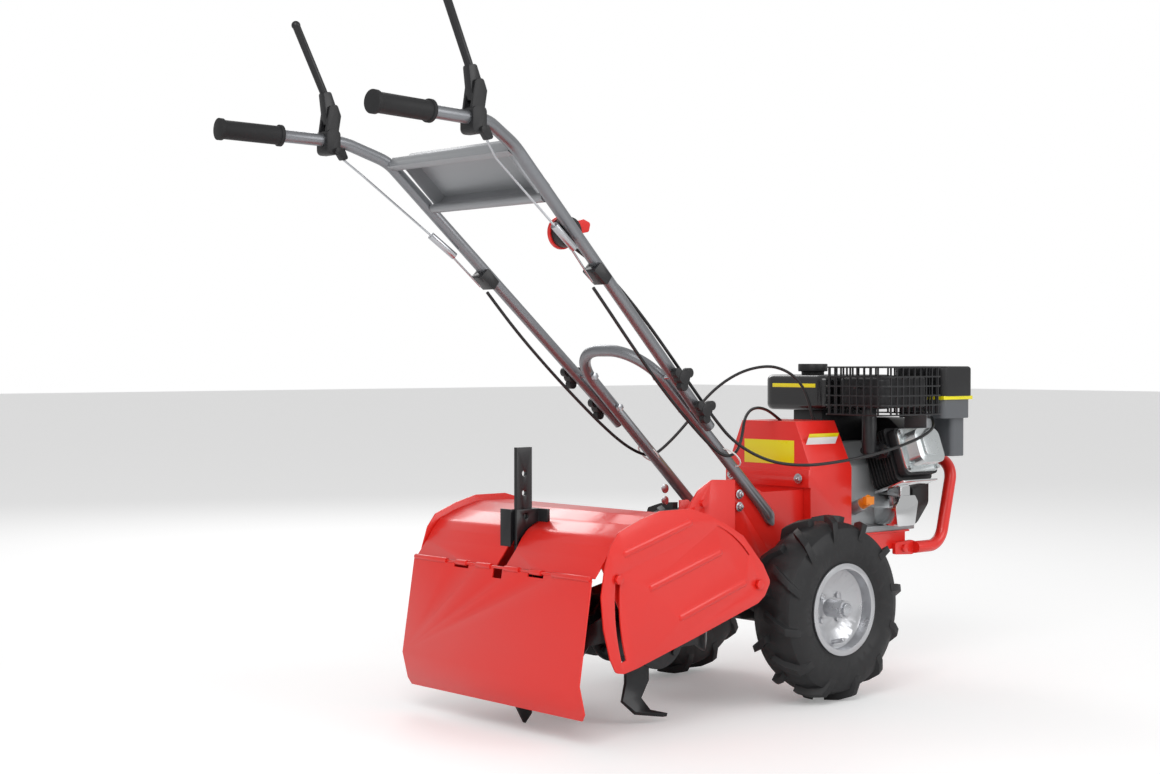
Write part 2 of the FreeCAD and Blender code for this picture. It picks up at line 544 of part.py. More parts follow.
# Cable brackets and the clutch rods beside both legs.
bx = -541.4
bracket_z = leg_z(bx)
stop_plate = slab([(bx - 26, bracket_z - 6), (bx + 4, bracket_z - 30), (bx + 16, bracket_z - 14),
                   (bx - 10, bracket_z + 10)], leg_y(bx) - 16, leg_y(bx) + 16, 3).cut(leg)
stop_plate = max(stop_plate.Solids, key=lambda s: s.Volume)
nodes["cable_brackets"] = Part.makeCompound([stop_plate, mirrored(stop_plate)])
rod_line = tube([(-838, 209, 1018), (-800, 192, 985), (-640, 172, 868), (bx - 16, leg_y(bx), bracket_z - 24)],
                30, 2)
spring_body = rod((-660, 174.5, 882.6), (-610, 168.5, 846), 7)
pull = rod_line.fuse(spring_body)
for other in (leg, stop_plate, bracket_lever, tray):
    pull = pull.cut(other)
pull = max(pull.Solids, key=lambda s: s.Volume)
nodes["clutch_rods"] = Part.makeCompound([pull, mirrored(pull)])

# ---------------------------------------------------------------- engine
crankcase = front([(-88, 299), (108, 299), (112, 330), (112, 440), (84, 480), (-30, 484), (-92, 440),
                   (-92, 330)], 184, 392, 14)
foot = box(184, 392, -108, 112, 299, 311)
filler = rod((214, -92, 348), (214, -116, 360), 13)
crankcase = join(crankcase, foot, filler)
nodes["crankcase"] = crankcase
nodes["dipstick"] = rod((214, -116, 360), (214, -136, 370), 11).fuse(
    box(202, 226, -138, -128, 360, 376)).removeSplitter()
barrel = box(HEAD_X[0] + 14, HEAD_X[1] - 14, -168, -84, CRANK_Z - 42, CRANK_Z + 42)
fins = []
fin_count = 9
for k in range(fin_count):
    y = -96 - FIN_PITCH * k
    grow = 0 if k < 6 else 4
    fins.append(slab(rect(HEAD_X[0] - grow, HEAD_X[1] + grow, CRANK_Z - 56, CRANK_Z + 56), y - FIN_T, y, 10))
cylinder = barrel.fuse(fins)
gasket = slab(rect(HEAD_X[0], HEAD_X[1], CRANK_Z - 50, CRANK_Z + 50), -184, -168, 12)
port = rod((HEAD_X[0] + 20, -140, CRANK_Z + 16), (HEAD_X[0] - 10, -140, CRANK_Z + 16), 18)
cylinder = cylinder.fuse([gasket, port])
rocker = slab(rect(HEAD_X[0] + 2, HEAD_X[1] - 2, CRANK_Z - 46, CRANK_Z + 46), -190, -184, 14)
rocker_dome = slab(rect(HEAD_X[0] + 14, HEAD_X[1] - 14, CRANK_Z - 36, CRANK_Z + 36), -222, -190, 18)
rocker_pad = slab(rect(HEAD_X[0] + 30, HEAD_X[1] - 34, CRANK_Z - 22, CRANK_Z + 18), -227, -222, 8)
cover_screws = []
for x in (HEAD_X[0] + 10, HEAD_X[1] - 10):
    for z in (CRANK_Z - 38, CRANK_Z + 38):
        cover_screws.append(hex_head(x, -196, z, 9, 6))
rocker = rocker.fuse([rocker_dome, rocker_pad] + cover_screws)
under = slab(rect(HEAD_X[0] - 2, HEAD_X[1] + 2, CRANK_Z - 62, CRANK_Z - 59), -176, -96)
tilt_base = (0, 0, CRANK_Z)
cylinder = turned(cylinder, tilt_base, (1, 0, 0), HEAD_TILT).cut(crankcase)
cylinder = max(cylinder.Solids, key=lambda s: s.Volume)
rocker = turned(rocker, tilt_base, (1, 0, 0), HEAD_TILT)
under = turned(under, tilt_base, (1, 0, 0), HEAD_TILT)
bowl = slab([(286, 312), (342, 312), (352, 360), (342, 374), (296, 374), (280, 350)], -150, -92, 6)
nodes["cylinder_head"] = cylinder
nodes["rocker_cover"] = rocker
nodes["polished_shroud"] = join(under, bowl.cut(crankcase), box(300, 330, -146, -112, 366, 392)).cut(cylinder)
port_y = -126.0
port_z = 468.0
pipe = join(rod((246, port_y, port_z), (224, port_y, port_z), 15), Part.makeSphere(15, V(224, port_y, port_z)),
            rod((224, port_y, port_z), (224, port_y, 556), 15))
flange = front([(port_y - 34, port_z - 14), (port_y + 34, port_z - 14), (port_y + 34, port_z + 14),
                (port_y - 34, port_z + 14)], 242, 252, 12)
nuts = [rod((234, port_y + s, port_z), (242, port_y + s, port_z), 7) for s in (-25, 25)]
nodes["exhaust_pipe"] = pipe.fuse([flange] + nuts).cut(cylinder)
muffler = plan(rect(196, 348, -186, -62), 556, 618, 24)
muffler = muffler.makeFillet(8, [e for e in muffler.Edges if abs(e.BoundBox.ZLength) < 0.01])
nodes["muffler"] = muffler
x0, x1, y0, y1, z0, z1 = CAGE
ring_out = rect(x0, x1, y0, y1)
ring_in = rect(x0 + WIRE, x1 - WIRE, y0 + WIRE, y1 - WIRE)
cage = []
rows = 6
for k in range(rows):
    z = z0 + (z1 - z0 - WIRE) * k / (rows - 1)
    cage.append(plan(ring_out, z, z + WIRE, 18).cut(plan(ring_in, z - 1, z + WIRE + 1, 15)))
for k in range(9):
    x = x0 + 18 + (x1 - x0 - 36 - WIRE) * k / 8
    cage.append(box(x, x + WIRE, y0, y0 + WIRE, z0, z1))
    cage.append(box(x, x + WIRE, y1 - WIRE, y1, z0, z1))
    cage.append(box(x, x + WIRE, y0, y1, z1 - WIRE, z1))
for k in range(8):
    y = y0 + 18 + (y1 - y0 - 36 - WIRE) * k / 7
    cage.append(box(x0, x0 + WIRE, y, y + WIRE, z0, z1))
    cage.append(box(x1 - WIRE, x1, y, y + WIRE, z0, z1))
    cage.append(box(x0, x1, y, y + WIRE, z1 - WIRE, z1))
stay_z = z0 + (z1 - z0 - WIRE) * 3 / (rows - 1)
stays = [box(x0 + 1, 196, -128, -122, stay_z - 3, stay_z + 2), box(348, x1 - 1, -128, -122, stay_z - 3, stay_z + 2)]
nodes["muffler_cage"] = cage[0].fuse(cage[1:] + stays)
tank = plan(rect(200, 432, -32, 150), 548, 622, 30)
tank = tank.makeFillet(12, [e for e in tank.Edges if abs(e.BoundBox.ZLength) < 0.01])
nodes["fuel_tank"] = tank
cap = Part.makeCylinder(24, 8, V(262, 60, 622)).fuse(Part.makeCylinder(31, 16, V(262, 60, 629)))
nodes["fuel_cap"] = cap.removeSplitter()
nodes["tank_bracket"] = box(230, 392, 6, 86, 482, 548).cut(crankcase)
shroud = front([(-70, 300), (70, 300), (116, 350), (116, 470), (80, 530), (-40, 530), (-104, 480),
                (-104, 350)], 392, 446, 26)
nodes["blower_shroud"] = shroud
pull_start = Part.makeCylinder(84, 14, V(446, 0, CRANK_Z), V(1, 0, 0)).fuse(
    [Part.makeCone(78, 40, 22, V(460, 0, CRANK_Z), V(1, 0, 0)), rod((450, 74, 452), (476, 84, 470), 9)])
nodes["recoil_starter"] = pull_start.removeSplitter().cut(shroud)
carb = box(369, 386, -158, -100, 498, 546).fuse(
    [box(372, 392, -140, -108, 470, 498), rod((376, -158, 536), (376, -164, 536), 5)])
carb = carb.removeSplitter().cut(cylinder).cut(shroud)
nodes["carburettor"] = max(carb.Solids, key=lambda s: s.Volume)
filter_base = plan(rect(386, 478, -188, -66), 532, 578, 12).cut(shroud)
filter_low = plan(rect(430, 476, -176, -118), 452, 532, 10).cut(shroud)
nodes["air_cleaner_base"] = join(filter_base, filter_low)
lid = plan(rect(382, 482, -192, -62), 578, 640, 14)
lid = lid.makeFillet(7, [e for e in lid.Edges if abs(e.BoundBox.ZMin - 640) < 0.01])
nodes["air_cleaner_lid"] = lid.cut(tank)


# ---------------------------------------------------------------- cables
def cable(points):
    """A cable as straight runs joined by tangent arcs. Prints its length and tightest bend."""
    radii = [0.0]
    length = 0.0
    pts = [V(*p) for p in points]
    for a, b, c in zip(pts, pts[1:], pts[2:]):
        turn = math.pi - (a - b).getAngle(c - b)
        radii.append(0.45 * min((a - b).Length, (c - b).Length) / math.tan(turn / 2))
    radii.append(0.0)
    wire = corner_path(points, radii)
    length = wire.Length
    shape = tube(points, radii, CABLE_D / 2)
    section = math.pi * CABLE_D * CABLE_D / 4
    print("cable length %.1f, radii %s, volume over section x length %.4f"
          % (length, [round(r) for r in radii[1:-1]], shape.Volume / (section * length)))
    return shape


FAR_CABLE = [(-549, 148, 780), (-512.6, 145, 739.4), (-471.3, 141, 695.9), (-427.1, 136, 652.4),
             (-381.8, 131, 610.1), (-335.4, 126, 569), (-289.1, 123, 530.8), (-235.4, 122, 492.5),
             (-189.1, 121, 468.9), (-151.9, 119, 461), (-121.4, 112, 480.1), (-76.1, 97, 525.4),
             (-32, 78, 586.2), (28.5, 55, 628.6), (87.8, 30, 642.8), (123.4, 10, 632.5), (144.4, -8, 609.9),
             (158, -20, 575), (165, -28, 530)]
NEAR_CABLE = [(-549, -150, 780), (-510, -147, 741), (-470, -143, 701), (-428, -139, 660), (-384, -135, 618),
              (-338, -131, 577), (-291, -128, 538), (-248, -126, 504), (-215, -125, 481), (-186, -124, 470),
              (-158, -123, 479), (-141, -119, 508), (-122, -106, 540), (-84, -84, 556), (-36, -58, 560),
              (14, -32, 556), (56, -14, 546), (92, -4, 530)]
THROTTLE_CABLE = [(-588, -137, 852), (-548, -141, 829), (-505, -144, 801), (-450, -142.5, 756),
                  (-395, -139, 706.5), (-340, -134, 655), (-285, -130, 602), (-230, -128, 547.5),
                  (-175, -130, 497), (-112, -158, 460), (-41, -186, 450), (40, -206, 456), (120, -220, 467),
                  (195, -228, 482), (262, -229, 498), (315, -216, 513), (352, -190, 526), (376, -164, 536)]
throttle_run = cable(THROTTLE_CABLE)
nodes["clutch_cable_left"] = cable(FAR_CABLE).cut(stop_plate).cut(nodes["belt_cover"])
nodes["clutch_cable_right"] = cable(NEAR_CABLE).cut(mirrored(stop_plate)).cut(nodes["belt_cover"])
nodes["throttle_cable"] = throttle_run.cut(throttle).cut(nodes["carburettor"])

# ---------------------------------------------------------------- common origin and export
low = [min(s.BoundBox.XMin for s in nodes.values()), min(s.BoundBox.YMin for s in nodes.values()),
       min(s.BoundBox.ZMin for s in nodes.values())]
high = [max(s.BoundBox.XMax for s in nodes.values()), max(s.BoundBox.YMax for s in nodes.values()),
        max(s.BoundBox.ZMax for s in nodes.values())]
shift = V(-(low[0] + high[0]) / 2, 0, 0)
print("low", [round(v, 2) for v in low], "high", [round(v, 2) for v in high], "shift", round(shift.x, 3))
for name, shape in nodes.items():
    if len(shape.Solids) == 1:
        shape = shape.Solids[0]
    placed = shape.copy()
    placed.translate(shift)
    placed.exportStep("parts/%s.step" % name)
    print("%-22s solids %d valid %s volume %.0f lowest %.2f"
          % (name, len(shape.Solids), shape.isValid(), shape.Volume, shape.BoundBox.ZMin))
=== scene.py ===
import bpy
import json
import math
from mathutils import Vector, Matrix


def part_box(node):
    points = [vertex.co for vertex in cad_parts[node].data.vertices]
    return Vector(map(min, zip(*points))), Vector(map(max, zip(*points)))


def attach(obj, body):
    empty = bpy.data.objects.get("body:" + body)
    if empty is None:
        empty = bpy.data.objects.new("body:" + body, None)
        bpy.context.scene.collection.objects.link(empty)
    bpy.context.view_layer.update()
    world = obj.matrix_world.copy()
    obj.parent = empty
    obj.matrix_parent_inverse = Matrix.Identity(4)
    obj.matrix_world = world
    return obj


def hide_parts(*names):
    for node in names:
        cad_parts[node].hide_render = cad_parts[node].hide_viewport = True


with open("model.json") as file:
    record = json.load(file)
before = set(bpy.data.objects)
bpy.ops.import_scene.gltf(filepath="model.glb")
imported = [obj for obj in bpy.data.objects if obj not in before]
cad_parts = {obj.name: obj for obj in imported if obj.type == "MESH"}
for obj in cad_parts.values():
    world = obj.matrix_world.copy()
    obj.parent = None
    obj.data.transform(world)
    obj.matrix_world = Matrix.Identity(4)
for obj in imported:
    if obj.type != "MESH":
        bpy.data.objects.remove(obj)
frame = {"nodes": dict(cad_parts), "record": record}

bl_info = {
    "name": "Garden tiller",
    "version": (1, 0, 0),
    "blender": (4, 5, 0),
    "location": "View3D > Sidebar > Tiller",
    "description": "Dresses the packed garden tiller with its visible pieces, finishes and stage",
    "category": "Object",
}

# The drawing's zero is the wheel axle; the frame's zero is the box's middle.
AXLE_X = (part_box("axle")[0].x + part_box("axle")[1].x) / 2
BODY_OF = {"wheel_left": ["tyre_left", "rim_left"], "wheel_right": ["tyre_right", "rim_right"],
           "tine_rotor": ["tine_shaft", "tine_reel_left", "tine_reel_right"], "flap": ["rear_flap"],
           "bar": ["depth_bar"], "shield_left": ["side_shield_left"], "shield_right": ["side_shield_right"]}
DEG = math.radians

# Edge rounding by kind of piece, metres.
EDGE_TYRE = 0.0016
EDGE_RIM = 0.0006
EDGE_AXLE = 0.001
EDGE_SHEET = 0.0005
EDGE_BAR = 0.0008
EDGE_PANEL = 0.0009
EDGE_BUMPER = 0.0006
EDGE_TUBE = 0.0004
EDGE_MOULDED = 0.0010
EDGE_ENGINE = 0.0015
EDGE_FIN = 0.0004
EDGE_WIRE = 0.0003
EDGE_FILM = 0.0002
# Largest angle shaded smooth, degrees: turned and lofted pieces, then pressed ones.
SMOOTH_ROUND = 40
SMOOTH_PRESSED = 35
# Bolts and cable ties, millimetres of the drawing.
COVER_BOLTS = ((48, -92, 418), (48, 92, 418))
PLATE_BOLTS = ((-131, 396), (-131, 372))
PLATE_BOLT_Y = 102
TIE_X, TIE_Y, TIE_Z = -168, 112, 468
TIE_LEAN = 47
# Stage: floor, studio and lamps (name, place, size, power).
FLOOR_SIZE = 60
FLOOR_GLOW = 0.2
STUDIO_LIGHT = 0.55
LAMPS = (("key", (-3.2, -2.4, 3.4), 2.6, 95), ("fill", (1.6, -3.8, 2.2), 2.4, 45),
         ("rim", (1.5, 3.4, 2.8), 2.0, 40))
LAMP_AIM = Vector((0.0, 0.0, 0.45))
CAMERA_PLACE = (-2711.1, -2575.8, 657.7)
CAMERA_TURN = (89.1, 0, -41.3)
CAMERA_LENS = 57.67
CAMERA_SENSOR = 36


def at(x, y, z):
    """A point of the machine's drawing, millimetres from the axle, in the frame."""
    return Vector((AXLE_X + x / 1000, y / 1000, z / 1000))


def body_for(node):
    for body, members in BODY_OF.items():
        if node in members:
            return body
    return "chassis"


def linear(code):
    """sRGB hex to linear colour."""
    out = []
    for k in (1, 3, 5):
        c = int(code[k:k + 2], 16) / 255
        out.append(c / 12.92 if c <= 0.04045 else ((c + 0.055) / 1.055) ** 2.4)
    return (*out, 1.0)


# ---------------------------------------------------------------- user values
class TillerColours(bpy.types.PropertyGroup):
    paint: bpy.props.FloatVectorProperty(
        name="Panel paint", description="Red powder coat of the panels", subtype="COLOR", size=4,
        min=0, max=1, default=linear("#E6251C"))
    tube: bpy.props.FloatVectorProperty(
        name="Handle tube", description="Silver lacquer of the handle tubes", subtype="COLOR", size=4,
        min=0, max=1, default=linear("#8E9094"))
    plate: bpy.props.FloatVectorProperty(
        name="Blank plates", description="Yellow of the blank plates", subtype="COLOR", size=4,
        min=0, max=1, default=linear("#F2E512"))


class TillerSizes(bpy.types.PropertyGroup):
    edge: bpy.props.FloatProperty(
        name="Edge rounding", description="Scale of the rounding of every folded and cut edge",
        default=1.0, min=0.0)
    cable: bpy.props.FloatProperty(
        name="Cable diameter", description="Outside diameter of the control cables", default=0.006,
        unit="LENGTH", subtype="DISTANCE")


# ---------------------------------------------------------------- materials
def add_node(tree, kind, settings=None, inputs=None):
    """Adds a node with its settings; an input may be a value or another node's socket."""
    node = tree.nodes.new(kind)
    for key, value in (settings or {}).items():
        setattr(node, key, value)
    for key, value in (inputs or {}).items():
        if isinstance(value, bpy.types.NodeSocket):
            tree.links.new(value, node.inputs[key])
        else:
            node.inputs[key].default_value = value
    return node


def finish(name, colour, rough, metal, coat, grain_mm, bump, rough_vary, tint):
    """A surface: colour, gloss, and a grain of a real size that varies its height, gloss and tint."""
    mat = bpy.data.materials.get(name)
    if mat:
        return mat
    mat = bpy.data.materials.new(name)
    mat.use_nodes = True
    tree = mat.node_tree
    shader = tree.nodes["Principled BSDF"]
    base = tuple(colour) if not isinstance(colour, str) else linear(colour)
    shader.inputs["Base Color"].default_value = base
    shader.inputs["Roughness"].default_value = rough
    shader.inputs["Metallic"].default_value = metal
    shader.inputs["Coat Weight"].default_value = coat
    shader.inputs["Coat Roughness"].default_value = 0.12
    mat.diffuse_color = base
    coord = add_node(tree, "ShaderNodeTexCoord")
    noise = add_node(tree, "ShaderNodeTexNoise", None,
                     {"Vector": coord.outputs["Object"], "Scale": 1000.0 / grain_mm, "Detail": 4.0})
    height = add_node(tree, "ShaderNodeBump", None,
                      {"Height": noise.outputs["Fac"], "Strength": 0.6, "Distance": bump / 1000})
    tree.links.new(height.outputs["Normal"], shader.inputs["Normal"])
    broad = add_node(tree, "ShaderNodeTexNoise", None,
                     {"Vector": coord.outputs["Object"], "Scale": 9.0, "Detail": 5.0})
    ramp = add_node(tree, "ShaderNodeMapRange", None,
                    {"Value": broad.outputs["Fac"], "From Min": 0.3, "From Max": 0.7,
                     "To Min": rough - rough_vary, "To Max": rough + rough_vary})
    tree.links.new(ramp.outputs["Result"], shader.inputs["Roughness"])
    dark = tuple(c * (1 - tint) for c in base[:3]) + (1.0,)
    mix = add_node(tree, "ShaderNodeMix", {"data_type": "RGBA"},
                   {0: broad.outputs["Fac"], 6: dark, 7: base})
    tree.links.new(mix.outputs[2], shader.inputs["Base Color"])
    return mat


def materials():
    """Every finish, by the record's slot name."""
    c = bpy.context.scene.tiller_colours
    return {
        # Powder coat on pressed steel: glossy with a fine orange peel.
        "red_paint": finish("powder_coated_steel_red", c.paint, 0.34, 0.0, 0.35, 2.2, 0.02, 0.05, 0.03),
        # Moulded tyre rubber with carbon black: dull sheen, faint mould dust.
        "tyre": finish("tyre_rubber_moulded", "#1B1B1D", 0.55, 0.0, 0.0, 1.2, 0.05, 0.08, 0.25),
        # Zinc-plated and lacquered pressed steel rim: bright satin.
        "rim": finish("plated_rim_steel", "#C9CACD", 0.30, 0.85, 0.0, 1.5, 0.015, 0.06, 0.06),
        # Bright zinc on fasteners and rods.
        "steel": finish("zinc_plated_steel", "#C4C6CA", 0.28, 0.95, 0.0, 0.8, 0.01, 0.05, 0.05),
        # Enamelled iron casting: sand-cast skin under black enamel.
        "black_casting": finish("enamelled_cast_iron", "#1A1A1C", 0.45, 0.0, 0.1, 1.8, 0.12, 0.06, 0.1),
        # Painted forged spring steel blades.
        "tine_steel": finish("painted_forged_steel", "#1E1F22", 0.38, 0.2, 0.1, 2.5, 0.06, 0.08, 0.15),
        # Black powder coat on small steel pieces.
        "black_steel": finish("powder_coated_steel_black", "#17171A", 0.40, 0.0, 0.1, 1.6, 0.03, 0.05, 0.1),
        # Metallic silver lacquer over drawn tube: grain along the tube, soft highlights.
        "handle_tube": finish("silver_lacquered_tube", c.tube, 0.36, 0.75, 0.1, 1.4, 0.01, 0.05, 0.08),
        "tray_sheet": finish("silver_lacquered_sheet", "#A5A7AA", 0.42, 0.6, 0.1, 2.0, 0.012, 0.05, 0.06),
        # Moulded glass-filled nylon: fine spark texture.
        "black_plastic": finish("moulded_nylon_black", "#19191B", 0.48, 0.0, 0.0, 0.9, 0.03, 0.05, 0.08),
        "red_plastic": finish("moulded_abs_red", "#E3201B", 0.3, 0.0, 0.2, 1.5, 0.01, 0.03, 0.03),
        # Soft vinyl grip: matte with a slight bloom.
        "grip_rubber": finish("vinyl_grip", "#18181A", 0.62, 0.0, 0.0, 1.0, 0.04, 0.06, 0.15),
        # Die-cast aluminium, as cast: fine grain, cool grey.
        "cast_aluminium": finish("die_cast_aluminium", "#A6A9AB", 0.46, 0.7, 0.0, 1.1, 0.06, 0.07, 0.12),
        "black_fins": finish("black_painted_casting", "#2A2A2C", 0.5, 0.3, 0.0, 1.2, 0.05, 0.06, 0.12),
        "bright_aluminium": finish("pressed_aluminium_bright", "#D9DEDF", 0.24, 0.9, 0.0, 1.6, 0.02, 0.07, 0.05),
        "polished_steel": finish("chromed_sheet", "#E2E3E4", 0.09, 1.0, 0.0, 3.0, 0.01, 0.03, 0.02),
        "tank_black": finish("enamelled_tank_black", "#141416", 0.22, 0.0, 0.5, 2.5, 0.008, 0.04, 0.05),
        "grey_plastic": finish("moulded_abs_grey", "#5F6266", 0.45, 0.0, 0.0, 1.1, 0.02, 0.05, 0.06),
        "orange_plastic": finish("moulded_abs_orange", "#F08A1C", 0.32, 0.0, 0.1, 1.2, 0.01, 0.03, 0.03),
        "cable_black": finish("cable_sheath_pvc", "#161618", 0.42, 0.0, 0.0, 1.0, 0.01, 0.04, 0.05),
        "plate_yellow": finish("vinyl_film_yellow", c.plate, 0.3, 0.0, 0.2, 2.0, 0.004, 0.03, 0.02),
        "plate_white": finish("vinyl_film_white", "#E9EAEA", 0.3, 0.0, 0.2, 2.0, 0.004, 0.03, 0.02),
        "plate_dark": finish("vinyl_film_dark", "#3A3D42", 0.3, 0.0, 0.2, 2.0, 0.004, 0.03, 0.02),
        "tie_white": finish("nylon_tie_white", "#E4E4E2", 0.4, 0.0, 0.0, 1.0, 0.01, 0.03, 0.03),
    }


SLOTS = {n["node"]: n["material_slot"] for n in frame["record"]["subparts"]}


# ---------------------------------------------------------------- making and finishing
def clear_selection():
    if bpy.context.object and bpy.context.object.mode != "OBJECT":
        bpy.ops.object.mode_set(mode="OBJECT")
    bpy.ops.object.select_all(action="DESELECT")


def make_active(obj):
    clear_selection()
    obj.select_set(True)
    bpy.context.view_layer.objects.active = obj


def settle(obj, name, slot, body, material=None, edge=0.0, smooth=30):
    """Names a new piece, bakes its place into its mesh, rounds its edges, gives its finish and body."""
    make_active(obj)
    obj.name = name
    obj.data.name = name
    bpy.ops.object.transform_apply(location=True, rotation=True, scale=True)
    if edge:
        bevel = obj.modifiers.new("edge", "BEVEL")
        bevel.width = edge
        bevel.segments = 2
        bevel.limit_method = "ANGLE"
        bevel.angle_limit = DEG(35)
        bevel.use_clamp_overlap = True
        bpy.ops.object.modifier_apply(modifier="edge")
    bpy.ops.object.mode_set(mode="EDIT")
    bpy.ops.mesh.select_all(action="SELECT")
    bpy.ops.mesh.normals_make_consistent(inside=False)
    bpy.ops.object.mode_set(mode="OBJECT")
    bpy.ops.object.shade_smooth_by_angle(angle=DEG(smooth))
    obj.data.materials.clear()
    obj.data.materials.append(material or materials()[slot])
    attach(obj, body)
    return obj


def dress(node, edge, smooth=30):
    """A finished copy of a frame piece: welded, flat areas made whole, edges rounded."""
    source = frame["nodes"][node]
    mesh = source.data.copy()
    obj = bpy.data.objects.new("show_" + node, mesh)
    obj.matrix_world = source.matrix_world.copy()
    bpy.context.scene.collection.objects.link(obj)
    make_active(obj)
    bpy.ops.object.mode_set(mode="EDIT")
    bpy.ops.mesh.select_all(action="SELECT")
    bpy.ops.mesh.remove_doubles(threshold=0.00002)
    bpy.ops.mesh.dissolve_limited(angle_limit=DEG(0.4))
    bpy.ops.object.mode_set(mode="OBJECT")
    edge *= bpy.context.scene.tiller_sizes.edge
    settle(obj, "show_" + node, SLOTS[node], body_for(node), edge=edge, smooth=smooth)
    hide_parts(node)


def cylinder(a, b, radius, sides=24):
    """A closed round bar between two points of the frame."""
    clear_selection()
    span = b - a
    turn = span.to_track_quat("Z", "Y").to_euler()
    bpy.ops.mesh.primitive_cylinder_add(vertices=sides, radius=radius, depth=span.length,
                                        location=(a + b) / 2, rotation=turn)
    return bpy.context.object


def block(low, high):
    """A box between two points of the frame."""
    clear_selection()
    size = high - low
    bpy.ops.mesh.primitive_cube_add(size=1, location=(low + high) / 2, scale=size)
    return bpy.context.object


def bolt(place, outward, radius, name):
    """A hexagon bolt head on its washer, standing on a face of the chassis."""
    washer = cylinder(place, place + outward * 0.0015, radius * 1.45)
    head = cylinder(place + outward * 0.0014, place + outward * (0.0014 + radius * 0.75), radius, 6)
    stud = cylinder(place + outward * 0.001, place + outward * (0.0018 + radius * 1.15), radius * 0.5, 16)
    for o in (washer, head, stud):
        o.select_set(True)
    bpy.context.view_layer.objects.active = washer
    bpy.ops.object.join()
    settle(washer, name, "steel", "chassis", edge=radius * 0.08)


class TILLER_OT_wheels(bpy.types.Operator):
    """Tyres, rims and axle"""
    bl_idname = "tiller.wheels"
    bl_label = "Wheels"

    def execute(self, context):
        for side in ("left", "right"):
            dress("tyre_" + side, EDGE_TYRE, SMOOTH_ROUND)
            dress("rim_" + side, EDGE_RIM, SMOOTH_ROUND)
        dress("axle", EDGE_AXLE)
        return {"FINISHED"}


class TILLER_OT_tines(bpy.types.Operator):
    """Rotor, its case, the hood, shields, flap and depth bar"""
    bl_idname = "tiller.tines"
    bl_label = "Tine group"

    def execute(self, context):
        for node in ("tine_shaft", "tine_reel_left", "tine_reel_right", "tine_case", "gearbox", "tine_hood",
                     "side_shield_left", "side_shield_right", "rear_flap"):
            dress(node, EDGE_SHEET, SMOOTH_PRESSED)
        for node in ("depth_bar", "depth_bracket"):
            dress(node, EDGE_BAR)
        return {"FINISHED"}


class TILLER_OT_frame(bpy.types.Operator):
    """Side plates, deck, engine frame, belt cover and bumper"""
    bl_idname = "tiller.frame"
    bl_label = "Frame"

    def execute(self, context):
        for node in ("side_plate_left", "side_plate_right", "deck", "cross_panel", "engine_frame",
                     "belt_cover"):
            dress(node, EDGE_PANEL)
        dress("front_bumper", EDGE_BUMPER, SMOOTH_ROUND)
        return {"FINISHED"}


class TILLER_OT_handles(bpy.types.Operator):
    """Handle tubes, tray, grips, levers, knobs and throttle"""
    bl_idname = "tiller.handles"
    bl_label = "Handles"

    def execute(self, context):
        for node in SLOTS:
            if node.startswith(("lower_handle", "handle_leg", "clamp_bolts", "grip_", "clutch_rod")):
                dress(node, EDGE_TUBE, SMOOTH_ROUND)
            if node.startswith(("handle_tray", "clamp_knobs", "lever_bracket", "clutch_lever", "throttle_body",
                                "throttle_lever", "cable_bracket")):
                dress(node, EDGE_MOULDED, SMOOTH_PRESSED)
        return {"FINISHED"}


class TILLER_OT_engine(bpy.types.Operator):
    """Engine block, head, muffler, tank, filter and starter"""
    bl_idname = "tiller.engine"
    bl_label = "Engine"

    def execute(self, context):
        for node in ("crankcase", "rocker_cover", "polished_shroud", "exhaust_pipe", "muffler", "fuel_tank",
                     "fuel_cap", "tank_bracket", "blower_shroud", "recoil_starter", "carburettor",
                     "air_cleaner_base", "air_cleaner_lid", "dipstick"):
            dress(node, EDGE_ENGINE)
        dress("cylinder_head", EDGE_FIN)
        dress("muffler_cage", EDGE_WIRE)
        return {"FINISHED"}


FAR_CABLE = [(-549, 148, 780), (-512.6, 145, 739.4), (-471.3, 141, 695.9), (-427.1, 136, 652.4),
             (-381.8, 131, 610.1), (-335.4, 126, 569), (-289.1, 123, 530.8), (-235.4, 122, 492.5),
             (-189.1, 121, 468.9), (-151.9, 119, 461), (-121.4, 112, 480.1), (-76.1, 97, 525.4),
             (-32, 78, 586.2), (28.5, 55, 628.6), (87.8, 30, 642.8), (123.4, 10, 632.5), (144.4, -8, 609.9),
             (158, -20, 575), (165, -28, 530)]
NEAR_CABLE = [(-549, -150, 780), (-510, -147, 741), (-470, -143, 701), (-428, -139, 660), (-384, -135, 618),
              (-338, -131, 577), (-291, -128, 538), (-248, -126, 504), (-215, -125, 481), (-186, -124, 470),
              (-158, -123, 479), (-141, -119, 508), (-122, -106, 540), (-84, -84, 556), (-36, -58, 560),
              (14, -32, 556), (56, -14, 546), (92, -4, 530)]
THROTTLE_CABLE = [(-588, -137, 852), (-548, -141, 829), (-505, -144, 801), (-450, -142.5, 756),
                  (-395, -139, 706.5), (-340, -134, 655), (-285, -130, 602), (-230, -128, 547.5),
                  (-175, -130, 497), (-112, -158, 460), (-41, -186, 450), (40, -206, 456), (120, -220, 467),
                  (195, -228, 482), (262, -229, 498), (315, -216, 513), (352, -190, 526), (376, -164, 536)]


